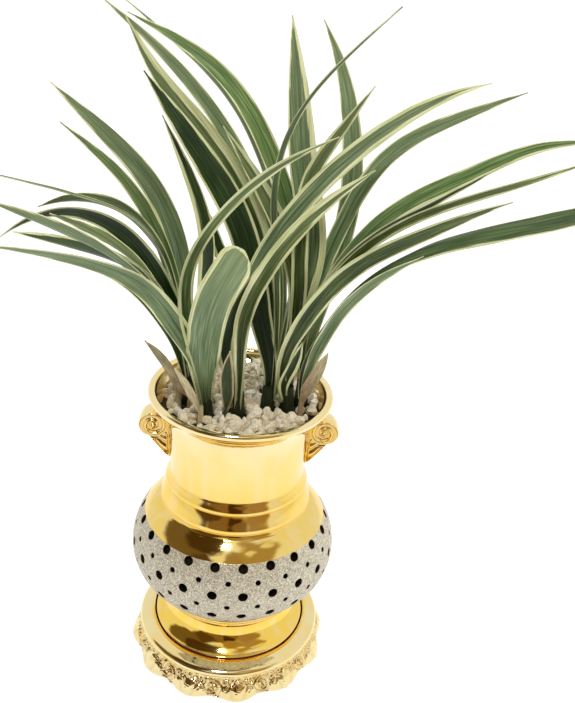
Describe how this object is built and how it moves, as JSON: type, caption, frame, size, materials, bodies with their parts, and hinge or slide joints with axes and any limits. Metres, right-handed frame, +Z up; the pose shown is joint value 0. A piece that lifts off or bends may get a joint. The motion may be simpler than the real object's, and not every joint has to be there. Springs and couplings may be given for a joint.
{
  "type": "potted cymbidium orchid",
  "caption": "Variegated strap-leaved orchid out of flower, in a gold vented ceramic pot with scroll ears and a scalloped saucer, dressed with pale stones.",
  "frame": {"origin": "centre of the saucer's flat underside", "axes": "+Z up along the pot's axis; the scroll ears lie along X; -Y is the side the picture was taken from"},
  "size_m": [0.5436, 0.2515, 0.6337],
  "materials": {
    "gold_glaze": "metallic gold lustre over glaze, with a sanded silver-grey band round the vented bulb",
    "medium": "bark medium under matt, pale tan pumice stones",
    "leaf": "waxy, dark green above and grey-green below, with cream margins",
    "dry_leaf": "matt, papery and fibrous"
  },
  "bodies": {
    "root": {"pot": "gold_glaze", "saucer": "gold_glaze", "potting_medium": "medium", "growth_left": "leaf", "growth_front": "leaf", "growth_centre": "leaf", "growth_inner": "leaf", "growth_rear": "leaf", "growth_right": "leaf", "growth_outer": "leaf", "dry_sheath_left": "dry_leaf", "dry_sheath_side": "dry_leaf", "dry_sheath_front": "dry_leaf", "dry_sheath_centre": "dry_leaf", "dry_sheath_right": "dry_leaf"}
  },
  "joints": []
}
